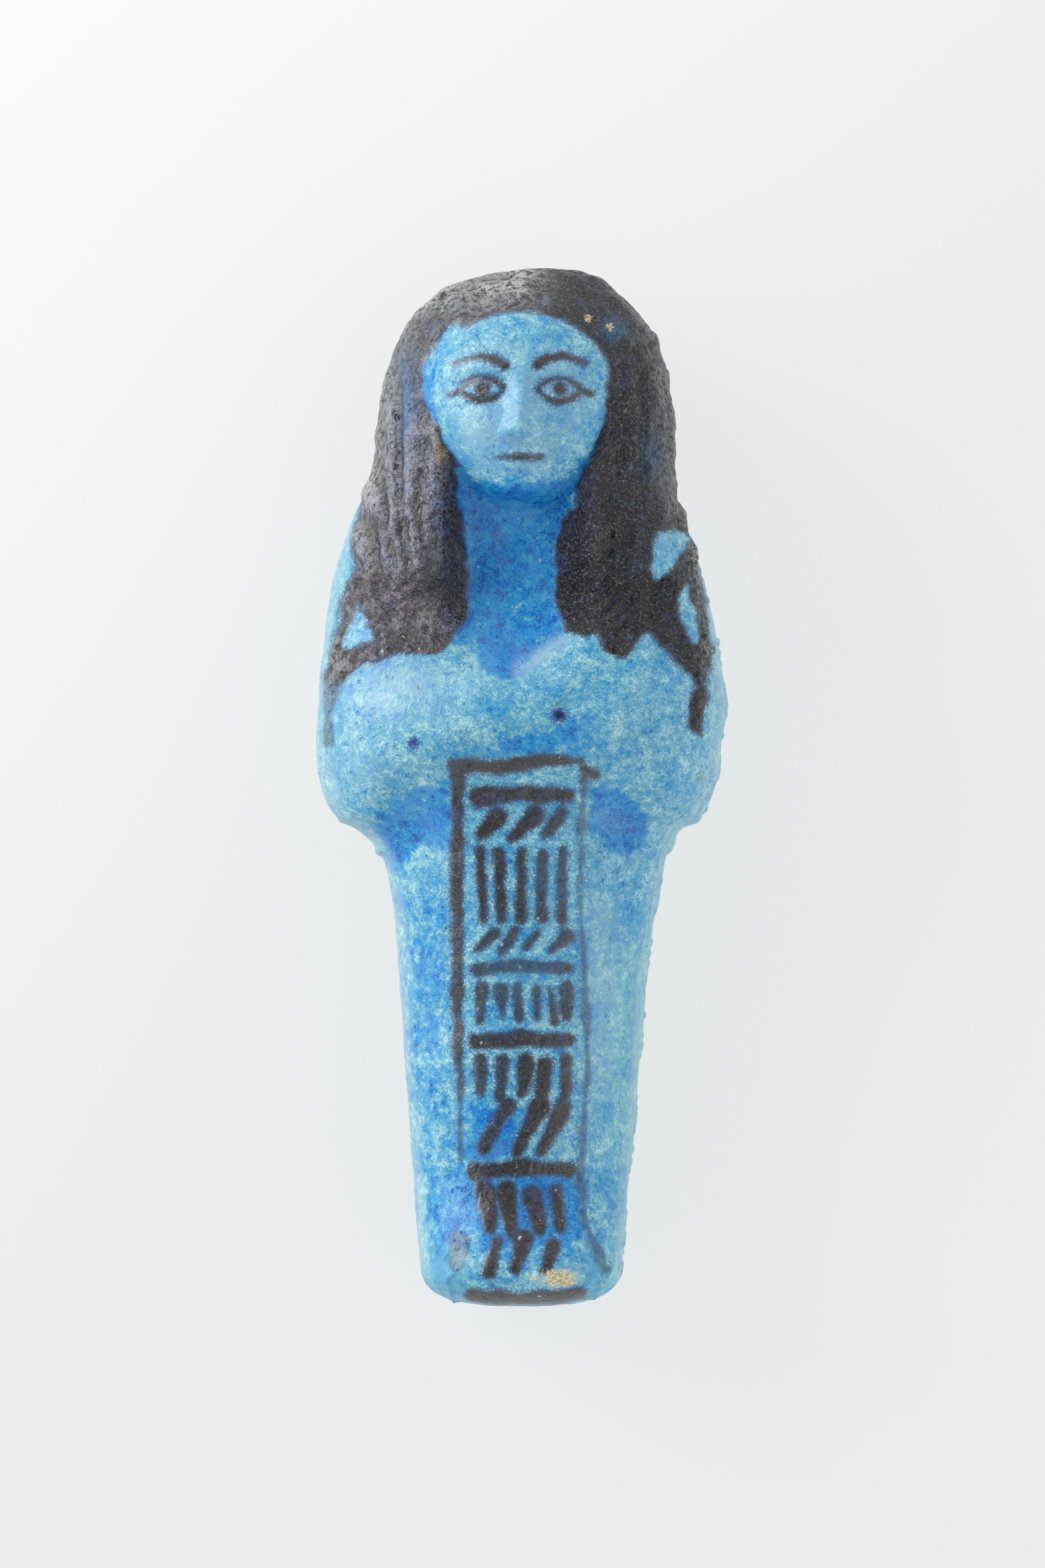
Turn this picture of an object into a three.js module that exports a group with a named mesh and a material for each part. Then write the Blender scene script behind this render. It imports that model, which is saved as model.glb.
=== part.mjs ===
// Ushabti figurine: a small mummy-shaped funerary figure of glazed faience, pressed in one piece into an open mould
// and laid on its flat back. Millimetres. X runs to the figure's left side, Y from its feet to its crown, and Z up
// out of its chest. The origin is on the flat back, under the middle of the figure.
import * as THREE from "three";

// Overall size.
const LENGTH = 90;
const CROWN_ROUNDING = 12;
const CROWN_SQUARENESS = 2.2;
const SOLE_ROUNDING = 3.5;
const SOLE_SQUARENESS = 2.6;
const BACK_FULLNESS = 1.06;
const BACK_SQUARENESS = 2.6;

// The figure is laid out along "down", the distance from the crown towards the sole. Each station is [down, value].
const RIGHT_EDGE = [
  [0, 10.6],
  [2, 11.6],
  [9, 11.8],
  [14, 12.5],
  [18.5, 13.2],
  [23, 15],
  [28, 16.4],
  [37, 17.4],
  [41.5, 17.6],
  [44.5, 17.3],
  [47.3, 16.1],
  [48.6, 14],
  [50.2, 12.3],
  [53.2, 11.4],
  [57.8, 10.7],
  [69.4, 10],
  [86, 8.7],
  [90, 8.5],
];
const LEFT_EDGE = [
  [0, 15],
  [2, 13.4],
  [9, 13.1],
  [14, 13.4],
  [18.5, 13.5],
  [23, 14.8],
  [28, 16.2],
  [37, 17.8],
  [41.5, 17.5],
  [44.5, 17.1],
  [47.3, 15.8],
  [48.6, 13.9],
  [50.2, 13],
  [53.2, 12.3],
  [57.8, 11.5],
  [69.4, 10.4],
  [86, 8.9],
  [90, 8.9],
];
const FRONT_HEIGHT = [
  [0, 15.5],
  [3, 17.6],
  [7, 18.8],
  [16, 19.5],
  [24, 19.7],
  [26.4, 19.3],
  [28.4, 18.1],
  [31, 17.9],
  [35, 19],
  [38.5, 19.9],
  [42, 19.3],
  [45, 17.9],
  [50, 17.1],
  [62, 16],
  [74, 14.8],
  [79, 14.5],
  [83, 15.7],
  [86.5, 17.3],
  [90, 16.6],
];
const WIDEST_HEIGHT = [
  [0, 9.2],
  [15, 9.4],
  [26, 8.6],
  [42, 8.4],
  [52, 7.4],
  [80, 6.8],
  [90, 7.6],
];
const SQUARENESS = [
  [0, 2.05],
  [16, 2.15],
  [26, 2.45],
  [36, 2.7],
  [44, 2.65],
  [53, 2.2],
  [78, 2.25],
  [86, 2.6],
  [90, 2.6],
];

// The oval face, between the fringe of the wig and the chin.
const FACE = { x: 0.1, down: 12.3, halfWidth: 7.5, halfHeight: 8.1, taper: 0.021, rim: 17.7, crown: 21.3 };
// Facial thirds: hairline to brow, brow to the base of the nose, and base of the nose to the chin.
const THIRD = (2 * FACE.halfHeight) / 3;
const HAIRLINE = FACE.down - FACE.halfHeight;
const BROW = HAIRLINE + THIRD;
const NOSE_BASE = BROW + THIRD;
const CHIN = NOSE_BASE + THIRD;
const EYE_LINE = BROW + 1.4;
const EYE_WIDTH = 3.4;
const EYE_OFFSET = 3.3;
const MOUTH = NOSE_BASE + THIRD / 3;
const MOUTH_HALF = 2.4;

// The hollow of the neck, between the two lappets of the wig, opens on to the chest.
const NECK = { x: -0.6, floorHalf: 3.4, wall: 5.2, from: 15, to: 37 };
const NECK_FLOOR = [
  [15, 17],
  [19, 15.9],
  [24, 15.3],
  [28, 15.6],
  [32, 16.9],
  [36, 18.9],
  [40, 20],
];
const LAPPET_OUTER = [
  [16, 13.4],
  [21, 12.6],
  [27, 11.2],
  [32, 10.4],
];
const SHOULDER_DROP = 0.8;

// Folded arms, and the hollows below the elbows.
const ARMS = { elbowX: 14, elbowDown: 44.5, handX: 3, handDown: 36.6, radius: 2.7, height: 0.7 };
const WAIST_HOLLOW = { x: 9.4, down: 48, radius: 3.1, depth: 1.3 };

// The rows run from crown to sole: [from, to, rows], closer together over the face and the hair.
const ROWS = [
  [4, 23, 34],
  [23, 36, 14],
  [36, 54, 16],
  [54, 80, 8],
  [80, 86.5, 5],
];
const CAP_ROWS = 7;
const FRONT_COLUMNS = 42;
const BACK_COLUMNS = 12;

const { smoothstep, lerp } = THREE.MathUtils;

// A smooth curve through the stations: cubic pieces whose slope at each station is that of its two neighbours.
function through(stations) {
  const slope = stations.map((station, i) => {
    const [before, after] = [stations[Math.max(i - 1, 0)], stations[Math.min(i + 1, stations.length - 1)]];
    return (after[1] - before[1]) / (after[0] - before[0]);
  });
  return (down) => {
    let i = stations.findIndex((station) => station[0] > down) - 1;
    if (i < 0) i = down < stations[0][0] ? 0 : stations.length - 2;
    const [from, to] = [stations[i], stations[i + 1]];
    const span = to[0] - from[0];
    const t = Math.min(Math.max((down - from[0]) / span, 0), 1);
    return (
      from[1] * (1 + 2 * t) * (1 - t) ** 2 +
      slope[i] * span * t * (1 - t) ** 2 +
      to[1] * t * t * (3 - 2 * t) -
      slope[i + 1] * span * t * t * (1 - t)
    );
  };
}

const rightEdge = through(RIGHT_EDGE);
const leftEdge = through(LEFT_EDGE);
const frontHeight = through(FRONT_HEIGHT);
const widestHeight = through(WIDEST_HEIGHT);
const squareness = through(SQUARENESS);
const neckFloor = through(NECK_FLOOR);
const lappetOuter = through(LAPPET_OUTER);

// Share of the full section that is left where the crown and the sole round off.
function roundedEnd(down) {
  const crown = Math.max(1 - down / CROWN_ROUNDING, 0);
  const sole = Math.max((down - (LENGTH - SOLE_ROUNDING)) / SOLE_ROUNDING, 0);
  const atCrown = (1 - crown ** CROWN_SQUARENESS) ** (1 / CROWN_SQUARENESS);
  const atSole = Math.max(1 - sole ** SOLE_SQUARENESS, 0) ** (1 / SOLE_SQUARENESS);
  return atCrown * atSole;
}

// The crown's highest point lies a little to the figure's left of the middle, so the sections close towards it.
function section(down) {
  const share = roundedEnd(down);
  const middle = (leftEdge(down) - rightEdge(down)) / 2;
  const half = ((leftEdge(down) + rightEdge(down)) / 2) * share;
  return { middle, half, share, widest: widestHeight(down), square: squareness(down) };
}

function bump(x, down, atX, atDown, radiusX, radiusDown) {
  return Math.exp(-(((x - atX) / radiusX) ** 2) - ((down - atDown) / radiusDown) ** 2);
}

function distanceToSegment(x, down, [x0, down0], [x1, down1]) {
  const [alongX, alongDown] = [x1 - x0, down1 - down0];
  const share = ((x - x0) * alongX + (down - down0) * alongDown) / (alongX ** 2 + alongDown ** 2);
  const t = Math.min(Math.max(share, 0), 1);
  return Math.hypot(x - x0 - t * alongX, down - down0 - t * alongDown);
}

// Nose, brows, eyes, lips and chin, as heights added to the oval of the face.
function features(x, down) {
  const side = Math.abs(x);
  const along = Math.min(Math.max((down - BROW) / (NOSE_BASE - BROW), 0), 1);
  const nose = lerp(0.25, 1.05, along) * Math.exp(-((x / lerp(0.9, 1.4, along)) ** 2));
  const noseSpan = smoothstep(down, BROW - 1.2, BROW + 0.8) * (1 - smoothstep(down, NOSE_BASE - 0.9, NOSE_BASE + 0.9));
  return (
    nose * noseSpan +
    0.2 * bump(side, down, 1.2, NOSE_BASE - 0.6, 0.7, 0.8) +
    0.3 * bump(side, down, EYE_OFFSET, BROW, 2.2, 0.7) -
    0.6 * bump(side, down, EYE_OFFSET, EYE_LINE, EYE_WIDTH * 0.66, 1.5) +
    0.5 * bump(side, down, EYE_OFFSET, EYE_LINE, EYE_WIDTH * 0.42, 0.8) +
    0.25 * bump(side, down, 4.2, NOSE_BASE - 1, 2, 2) +
    0.4 * bump(x, down, 0, MOUTH - 0.55, MOUTH_HALF * 0.75, 0.5) +
    0.4 * bump(x, down, 0, MOUTH + 0.55, MOUTH_HALF * 0.62, 0.5) -
    0.15 * bump(x, down, 0, MOUTH + 1.5, 1.6, 0.5) +
    0.5 * bump(x, down, 0, CHIN - 1.4, 2, 1)
  );
}

// How far out a point is on the oval of the face: 0 in the middle and 1 on the rim.
function faceReach(x, down) {
  const half = FACE.halfWidth * (1 - FACE.taper * (down - FACE.down));
  return Math.hypot(x / half, (down - FACE.down) / FACE.halfHeight);
}

function addFace(z, x, down) {
  const reach = faceReach(x - FACE.x, down);
  const jaw = smoothstep(down, FACE.down + 3, CHIN);
  const dome = lerp(FACE.rim, FACE.crown, Math.max(1 - reach * reach, 0) ** 0.75);
  const share = 1 - smoothstep(reach, 0.94 - 0.09 * jaw, 1.08 + 0.17 * jaw);
  return lerp(z, dome + features(x - FACE.x, down), share);
}

function addNeck(z, x, down) {
  const across = Math.abs(x - NECK.x);
  const floor = neckFloor(down) + 0.015 * across * across;
  const lengthways = smoothstep(down, NECK.from, NECK.from + 3.5) * (1 - smoothstep(down, NECK.to - 4, NECK.to));
  const share = (1 - smoothstep(across, NECK.floorHalf, NECK.floorHalf + NECK.wall)) * lengthways;
  return lerp(z, floor, share);
}

function shoulderDrop(x, down) {
  const span = smoothstep(down, 18, 21) * (1 - smoothstep(down, 27, 32));
  return SHOULDER_DROP * span * smoothstep(Math.abs(x), lappetOuter(down) - 0.3, lappetOuter(down) + 0.9);
}

function foldedArms(x, down) {
  const away = [-1, 1].map((side) =>
    distanceToSegment(x, down, [side * ARMS.elbowX, ARMS.elbowDown], [-side * ARMS.handX, ARMS.handDown]),
  );
  return ARMS.height * Math.exp(-((Math.min(...away) / ARMS.radius) ** 2));
}

// Height of the front surface over the back, at x and down.
function front(x, down, cut) {
  const across = Math.min(Math.abs((x - cut.middle) / Math.max(cut.half, 1e-6)), 1);
  const arch = (1 - across ** cut.square) ** (1 / cut.square);
  const rise = (frontHeight(down) - cut.widest) * cut.share;
  let z = cut.widest + rise * arch;
  const hollow = bump(Math.abs(x), down, WAIST_HOLLOW.x, WAIST_HOLLOW.down, WAIST_HOLLOW.radius, WAIST_HOLLOW.radius);
  const relief = foldedArms(x, down) - shoulderDrop(x, down) - WAIST_HOLLOW.depth * hollow;
  z += relief * Math.min(arch * 1.6, 1) * cut.share;
  z = addNeck(z, x, down);
  return down > CHIN + 3 ? z : addFace(z, x, down);
}

// The back was smoothed flat, so its fullness is cut off at the plane z = 0.
function back(angle, cut) {
  const fall = cut.widest * BACK_FULLNESS * cut.share * Math.abs(Math.sin(angle)) ** (2 / BACK_SQUARENESS);
  return Math.max(cut.widest - fall, 0);
}

// Angles that cut the half of a superellipse of this width and depth into even lengths.
function evenAngles(count, width, depth, square) {
  const FINE = 600;
  const lengths = [0];
  const at = (i) => {
    const angle = (Math.PI * i) / FINE;
    return [
      width * Math.sign(Math.cos(angle)) * Math.abs(Math.cos(angle)) ** (2 / square),
      depth * Math.sin(angle) ** (2 / square),
    ];
  };
  for (let i = 1; i <= FINE; i++) {
    const [[x0, z0], [x1, z1]] = [at(i - 1), at(i)];
    lengths.push(lengths[i - 1] + Math.hypot(x1 - x0, z1 - z0));
  }
  return Array.from({ length: count }, (_, k) => {
    const target = (lengths[FINE] * k) / count;
    return (Math.PI * lengths.findIndex((length) => length >= target)) / FINE;
  });
}

// One closed ring of points round the figure, front first and then back.
function ring(down, frontAngles, backAngles) {
  const cut = section(down);
  const y = LENGTH / 2 - down;
  const edge = (angle, square) => Math.sign(Math.cos(angle)) * Math.abs(Math.cos(angle)) ** (2 / square);
  const over = frontAngles.map((angle) => {
    const x = cut.middle + cut.half * edge(angle, cut.square);
    return [x, y, front(x, down, cut)];
  });
  const under = backAngles.map((angle) => [
    cut.middle - cut.half * edge(angle, BACK_SQUARENESS),
    y,
    back(angle, cut),
  ]);
  return [...over, ...under];
}

function rowPositions() {
  const cap = (k) => (k / CAP_ROWS) ** 2;
  const rows = Array.from({ length: CAP_ROWS }, (_, k) => ROWS[0][0] * cap(k + 0.5));
  for (const [from, to, count] of ROWS)
    for (let k = 0; k < count; k++) rows.push(lerp(from, to, k / count));
  for (let k = CAP_ROWS; k > 0; k--) rows.push(LENGTH - SOLE_ROUNDING * cap(k - 0.5));
  return rows;
}

// The rings are joined by pairs of triangles, split along the clearly more level diagonal,
// and a fan closes each end.
function figureGeometry() {
  const frontAngles = evenAngles(FRONT_COLUMNS, 14, 10.5, 2.4);
  const backAngles = evenAngles(BACK_COLUMNS, 14, 9, BACK_SQUARENESS);
  const rings = rowPositions().map((down) => ring(down, frontAngles, backAngles));
  const columns = FRONT_COLUMNS + BACK_COLUMNS;
  const positions = rings.flat(2);
  const height = (i) => positions[3 * i + 2];
  const index = [];
  for (let r = 0; r + 1 < rings.length; r++)
    for (let c = 0; c < columns; c++) {
      const next = (c + 1) % columns;
      const [a, b] = [r * columns + c, r * columns + next];
      const [low, lowNext] = [a + columns, b + columns];
      if (Math.abs(height(a) - height(lowNext)) <= Math.abs(height(b) - height(low)) + 0.25)
        index.push(a, lowNext, low, a, b, lowNext);
      else index.push(a, b, low, b, lowNext, low);
    }
  const close = (down, start, flip) => {
    const cut = section(down);
    const pole = positions.length / 3;
    positions.push(cut.middle, LENGTH / 2 - down, cut.widest);
    for (let c = 0; c < columns; c++) {
      const [a, b] = [start + c, start + ((c + 1) % columns)];
      index.push(pole, flip ? b : a, flip ? a : b);
    }
  };
  close(0, 0, true);
  close(LENGTH, (rings.length - 1) * columns, false);
  return new THREE.BufferGeometry()
    .setAttribute("position", new THREE.Float32BufferAttribute(positions, 3))
    .setIndex(index);
}

const glaze = new THREE.MeshStandardMaterial({ color: 0x63a9cc, roughness: 0.4, metalness: 0 });

function ushabtiFigure() {
  const geometry = figureGeometry();
  geometry.computeVertexNormals();
  const mesh = new THREE.Mesh(geometry, glaze);
  mesh.name = "ushabti_figure";
  return mesh;
}

const ushabti = new THREE.Group();
ushabti.add(ushabtiFigure());

export default ushabti;
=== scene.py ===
"""A small funerary figurine of glazed faience, lying on its flat back on a pale table.

It is seen straight from above. Lengths are in millimetres until the mesh is made. X runs to the figure's
left side and "down" from its crown to its sole, so Y is half the length less down. Z rises out of its chest
from the flat back. Left and right are the figure's own, so its left is at the right of the picture.
"""
import itertools

import bpy
import numpy as np
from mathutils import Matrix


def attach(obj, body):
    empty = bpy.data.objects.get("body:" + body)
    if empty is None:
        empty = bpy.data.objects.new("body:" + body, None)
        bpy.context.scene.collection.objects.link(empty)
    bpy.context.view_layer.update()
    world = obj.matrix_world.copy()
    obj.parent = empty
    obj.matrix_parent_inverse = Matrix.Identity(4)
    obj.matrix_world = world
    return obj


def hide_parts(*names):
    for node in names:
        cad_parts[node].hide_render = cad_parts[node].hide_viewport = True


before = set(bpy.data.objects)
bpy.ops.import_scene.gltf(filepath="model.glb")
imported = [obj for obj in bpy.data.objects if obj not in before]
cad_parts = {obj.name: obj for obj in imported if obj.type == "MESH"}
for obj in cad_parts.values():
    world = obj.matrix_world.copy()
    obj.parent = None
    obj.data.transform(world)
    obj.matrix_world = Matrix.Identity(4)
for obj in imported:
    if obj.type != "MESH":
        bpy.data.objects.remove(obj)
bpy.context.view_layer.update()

LENGTH = 90.0
MM = 0.001


# Curves, noise and distances that the form and the painting share


def smooth(value, low, high):
    """An S-shaped rise from 0 at low to 1 at high."""
    t = np.clip((value - low) / (high - low), 0, 1)
    return t * t * (3 - 2 * t)


def lerp(a, b, t):
    """The value a share t of the way from a to b."""
    return a + (b - a) * t


def through(*stations):
    """A smooth curve through (down, value) stations.

    Between stations it is a cubic. Its slope at a station is that of the line between both neighbours.
    """
    at, value = np.array(stations, float).T
    order = np.arange(len(at))
    before = np.maximum(order - 1, 0)
    after = np.minimum(order + 1, len(at) - 1)
    slope = (value[after] - value[before]) / (at[after] - at[before])

    def curve(down):
        i = np.clip(np.searchsorted(at, down, side="right") - 1, 0, len(at) - 2)
        span = at[i + 1] - at[i]
        t = np.clip((down - at[i]) / span, 0, 1)
        start = value[i] * (1 + 2 * t) + slope[i] * span * t
        end = value[i + 1] * (3 - 2 * t) - slope[i + 1] * span * (1 - t)
        return start * (1 - t) ** 2 + end * t * t

    return curve


def bump(x, down, at_x, at_down, radius_x, radius_down=None):
    """A bell of height 1, wide and long as its two radii say."""
    radius_down = radius_x if radius_down is None else radius_down
    return np.exp(-(((x - at_x) / radius_x) ** 2) - ((down - at_down) / radius_down) ** 2)


def grain(points, size, seed):
    """Smooth random values from -1 to 1 that change over about one size, from a repeating lattice."""
    count = 32
    lattice = np.random.default_rng(seed).uniform(-1, 1, (count, count, count))
    scaled = points / size
    cell = np.floor(scaled).astype(int)
    t = scaled - cell
    t = t * t * (3 - 2 * t)
    total = np.zeros(points.shape[:-1])
    for corner in itertools.product((0, 1), repeat=3):
        share = np.prod(np.where(corner, t, 1 - t), axis=-1)
        i, j, k = np.moveaxis((cell + corner) % count, -1, 0)
        total += share * lattice[i, j, k]
    return total


def to_segment(x, down, x0, down0, x1, down1):
    """Distance to the line between two points, and how far along it the nearest point is, from 0 to 1."""
    along_x, along_down = x1 - x0, down1 - down0
    t = ((x - x0) * along_x + (down - down0) * along_down) / (along_x**2 + along_down**2)
    t = np.clip(t, 0, 1)
    return np.hypot(x - x0 - t * along_x, down - down0 - t * along_down), t


def brush(x, down, points, *widths):
    """Distance inside a brush line, positive on the paint. The widths are those at its two ends."""
    inside = np.full(x.shape, -99.0)
    last = len(points) - 1
    for i, (start, end) in enumerate(zip(points, points[1:])):
        away, t = to_segment(x, down, *start, *end)
        width = lerp(widths[0], widths[-1], (i + t) / last)
        inside = np.maximum(inside, width / 2 - away)
    return inside


def within(x, down, corners):
    """Distance inside a closed outline, positive inside and negative outside."""
    away = np.full(x.shape, 99.0)
    odd = np.zeros(x.shape, bool)
    for (x0, down0), (x1, down1) in zip(corners, corners[1:] + corners[:1]):
        away = np.minimum(away, to_segment(x, down, x0, down0, x1, down1)[0])
        if down0 != down1:
            crosses = (down0 > down) != (down1 > down)
            odd ^= crosses & (x < (x1 - x0) * (down - down0) / (down1 - down0) + x0)
    return np.where(odd, away, -away)


# The figure's form
# One pressing of quartz paste from an open mould: domed wig with two lappets, oval face, hollow neck,
# folded arms, and legs that end in a raised toe. The back was smoothed flat. It was not cut or joined.
CROWN_ROUNDING, CROWN_SQUARENESS = 12, 2.2
SOLE_ROUNDING, SOLE_SQUARENESS = 3.5, 2.6
BACK_FULLNESS, BACK_SQUARENESS = 1.06, 2.6
right_edge = through(
    (0, 10.6), (2, 11.6), (9, 11.8), (14, 12.5), (18.5, 13.2), (23, 15), (28, 16.4), (37, 17.4), (41.5, 17.6),
    (44.5, 17.3), (47.3, 16.1), (48.6, 14), (50.2, 12.3), (53.2, 11.4), (57.8, 10.7), (69.4, 10), (86, 8.7),
    (90, 8.5),
)
left_edge = through(
    (0, 15), (2, 13.4), (9, 13.1), (14, 13.4), (18.5, 13.5), (23, 14.8), (28, 16.2), (37, 17.8), (41.5, 17.5),
    (44.5, 17.1), (47.3, 15.8), (48.6, 13.9), (50.2, 13), (53.2, 12.3), (57.8, 11.5), (69.4, 10.4), (86, 8.9),
    (90, 8.9),
)
front_height = through(
    (0, 15.5), (3, 17.6), (7, 18.8), (16, 19.5), (24, 19.7), (26.4, 19.3), (28.4, 18.1), (31, 17.9), (35, 19),
    (38.5, 19.9), (42, 19.3), (45, 17.9), (50, 17.1), (62, 16), (74, 14.8), (79, 14.5), (83, 15.7),
    (86.5, 17.3), (90, 16.6),
)
widest_height = through((0, 9.2), (15, 9.4), (26, 8.6), (42, 8.4), (52, 7.4), (80, 6.8), (90, 7.6))
squareness = through(
    (0, 2.05), (16, 2.15), (26, 2.45), (36, 2.7), (44, 2.65), (53, 2.2), (78, 2.25), (86, 2.6), (90, 2.6)
)
NECK_X = -0.6
neck_floor = through((15, 17), (19, 15.9), (24, 15.3), (28, 15.6), (32, 16.9), (36, 18.9), (40, 20))
lappet_outer = through((16, 13.4), (21, 12.6), (27, 11.2), (32, 10.4))

FACE_X, FACE_DOWN, FACE_HALF_WIDTH, FACE_HALF_HEIGHT, FACE_TAPER = 0.1, 12.3, 7.5, 8.1, 0.021
THIRD = 2 * FACE_HALF_HEIGHT / 3
BROW = FACE_DOWN - FACE_HALF_HEIGHT + THIRD
NOSE_BASE = BROW + THIRD
CHIN = NOSE_BASE + THIRD
EYE_X, EYE_DOWN = 3.3, BROW + 1.4
MOUTH = NOSE_BASE + THIRD / 3


def face_reach(x, down):
    """How far out a point lies on the oval of the face: 0 in its middle and 1 on its rim."""
    half = FACE_HALF_WIDTH * (1 - FACE_TAPER * (down - FACE_DOWN))
    return np.hypot((x - FACE_X) / half, (down - FACE_DOWN) / FACE_HALF_HEIGHT)


def almond(x, down, at_x, at_down, half_width, half_height):
    """Distance inside the lens where two equal circles overlap."""
    radius = (half_width**2 + half_height**2) / (2 * half_height)
    drop = radius - half_height
    upper = np.hypot(x - at_x, down - at_down - drop)
    lower = np.hypot(x - at_x, down - at_down + drop)
    return radius - np.maximum(upper, lower)


def features(x, down):
    """Nose, brows, eyes, lips and chin, as heights over the oval of the face."""
    x = x - FACE_X
    side = np.abs(x)
    along = np.clip((down - BROW) / (NOSE_BASE - BROW), 0, 1)
    nose = lerp(0.3, 1.25, along) * np.exp(-((x / lerp(0.85, 1.25, along)) ** 2))
    nose *= smooth(down, BROW - 1.2, BROW + 0.8) * (1 - smooth(down, NOSE_BASE - 0.5, NOSE_BASE + 0.6))
    lids = smooth(almond(side, down, EYE_X, EYE_DOWN, 1.75, 0.85), -0.25, 0.35)
    mouth_line = np.hypot(np.maximum(side - 2, 0) / 0.5, (down - MOUTH - 0.015 * side**2) / 0.22)
    return (
        nose
        + 0.3 * bump(side, down, 1.15, NOSE_BASE - 0.5, 0.55, 0.6)
        + 0.3 * bump(side, down, EYE_X, BROW - 0.4, 2.4, 0.7)
        - 0.55 * bump(side, down, EYE_X, EYE_DOWN, 2.3, 1.5)
        + 0.42 * lids
        + 0.3 * bump(side, down, 4.2, NOSE_BASE - 1, 2, 2)
        - 0.2 * bump(x, down, 0, NOSE_BASE + 0.7, 0.4, 0.7)
        + 0.42 * bump(x, down, 0, MOUTH - 0.5, 1.8, 0.5)
        + 0.42 * bump(x, down, 0, MOUTH + 0.6, 1.5, 0.55)
        - 0.22 * np.exp(-(mouth_line**2))
        - 0.2 * bump(x, down, 0, MOUTH + 1.6, 1.6, 0.5)
        + 0.5 * bump(x, down, 0, CHIN - 1.4, 2, 1)
    )


def rounded_end(down):
    """Share of the full section that is left where the crown and the sole round off."""
    crown = np.maximum(1 - down / CROWN_ROUNDING, 0)
    sole = np.maximum((down - LENGTH + SOLE_ROUNDING) / SOLE_ROUNDING, 0)
    at_crown = (1 - crown**CROWN_SQUARENESS) ** (1 / CROWN_SQUARENESS)
    at_sole = np.maximum(1 - sole**SOLE_SQUARENESS, 0) ** (1 / SOLE_SQUARENESS)
    return at_crown * at_sole


def front_surface(x, down, middle, half, share, widest, square):
    """Height of the front over the table: an arched section with arms, shoulders, waist, neck and face."""
    across = np.minimum(np.abs((x - middle) / np.maximum(half, 1e-6)), 1)
    arch = (1 - across**square) ** (1 / square)
    z = widest + (front_height(down) - widest) * share * arch
    side = np.abs(x)
    # The forearms, each from its elbow to the hand on the other side.
    crossing = np.minimum(
        to_segment(x, down, -14, 44.5, 3, 36.6)[0],
        to_segment(x, down, 14, 44.5, -3, 36.6)[0],
    )
    outer = lappet_outer(down)
    shoulder = smooth(down, 18, 21) * (1 - smooth(down, 27, 32)) * smooth(side, outer - 0.3, outer + 0.7)
    relief = 0.7 * np.exp(-((crossing / 2.7) ** 2)) - 0.9 * shoulder - 1.3 * bump(side, down, 9.4, 48, 3.1)
    z = z + relief * np.minimum(arch * 1.6, 1) * share
    beside = np.abs(x - NECK_X)
    lengthways = smooth(down, 15, 18.5) * (1 - smooth(down, 33, 37))
    hollow = (1 - smooth(beside, 3.4, 7.6)) * lengthways
    z = lerp(z, neck_floor(down) + 0.015 * beside**2, hollow)
    reach = face_reach(x, down)
    jaw = smooth(down, FACE_DOWN + 3, CHIN)
    dome = lerp(17.7, 21.3, np.maximum(1 - reach**2, 0) ** 0.75) + features(x, down)
    face = (1 - smooth(reach, 0.95 - 0.04 * jaw, 1.07 + 0.08 * jaw)) * (down < CHIN + 3)
    return lerp(z, dome, face)


def even_angles(count, width, depth, square):
    """Angles that cut half of a superellipse of this width and depth into even lengths."""
    angle = np.linspace(0, np.pi, 4001)
    x = width * np.sign(np.cos(angle)) * np.abs(np.cos(angle)) ** (2 / square)
    z = depth * np.abs(np.sin(angle)) ** (2 / square)
    length = np.concatenate([[0], np.cumsum(np.hypot(np.diff(x), np.diff(z)))])
    return np.interp(np.arange(count) / count * length[-1], length, angle)


# Rows stand closer together at the crown and the sole, which round off.
CAP_ROWS, BODY_ROWS, CROWN_CAP, SOLE_CAP = 20, 352, 4, 3.5
FRONT_COLUMNS, BACK_COLUMNS = 200, 50
cap = (np.arange(CAP_ROWS) + 0.5) / CAP_ROWS
body_rows = np.linspace(CROWN_CAP, LENGTH - SOLE_CAP, BODY_ROWS)
rows = np.concatenate([CROWN_CAP * cap**2, body_rows, LENGTH - SOLE_CAP * cap[::-1] ** 2])
down = rows[:, None]
share = rounded_end(down)
middle = (left_edge(down) - right_edge(down)) / 2
half = (left_edge(down) + right_edge(down)) / 2 * share
widest = widest_height(down)
square = squareness(down)

TYPICAL_HALF_WIDTH, FRONT_RISE, FRONT_SQUARENESS, BACK_FALL = 14, 10.5, 2.4, 9
angles = even_angles(FRONT_COLUMNS, TYPICAL_HALF_WIDTH, FRONT_RISE, FRONT_SQUARENESS)[None]
front_x = middle + half * np.sign(np.cos(angles)) * np.abs(np.cos(angles)) ** (2 / square)
front_z = front_surface(front_x, down + 0 * angles, middle, half, share, widest, square)
angles = even_angles(BACK_COLUMNS, TYPICAL_HALF_WIDTH, BACK_FALL, BACK_SQUARENESS)[None]
back_x = middle - half * np.sign(np.cos(angles)) * np.abs(np.cos(angles)) ** (2 / BACK_SQUARENESS)
fall = widest * BACK_FULLNESS * share * np.abs(np.sin(angles)) ** (2 / BACK_SQUARENESS)
back_z = np.maximum(widest - fall, 0)

x = np.concatenate([front_x, back_x], axis=1)
z = np.concatenate([front_z, back_z], axis=1)
down = np.broadcast_to(down, x.shape)
points = np.stack([x, LENGTH / 2 - down, z], axis=-1)

# How far out a point lies, 1 on the outline, and how much it belongs to the flat underside, 0 to 1.
outwards = np.abs(x - middle) / np.maximum(half, 1e-6)
underneath = smooth(widest - z, 0.5, 3.5) * (np.arange(x.shape[1]) > FRONT_COLUMNS)[None]


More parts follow.
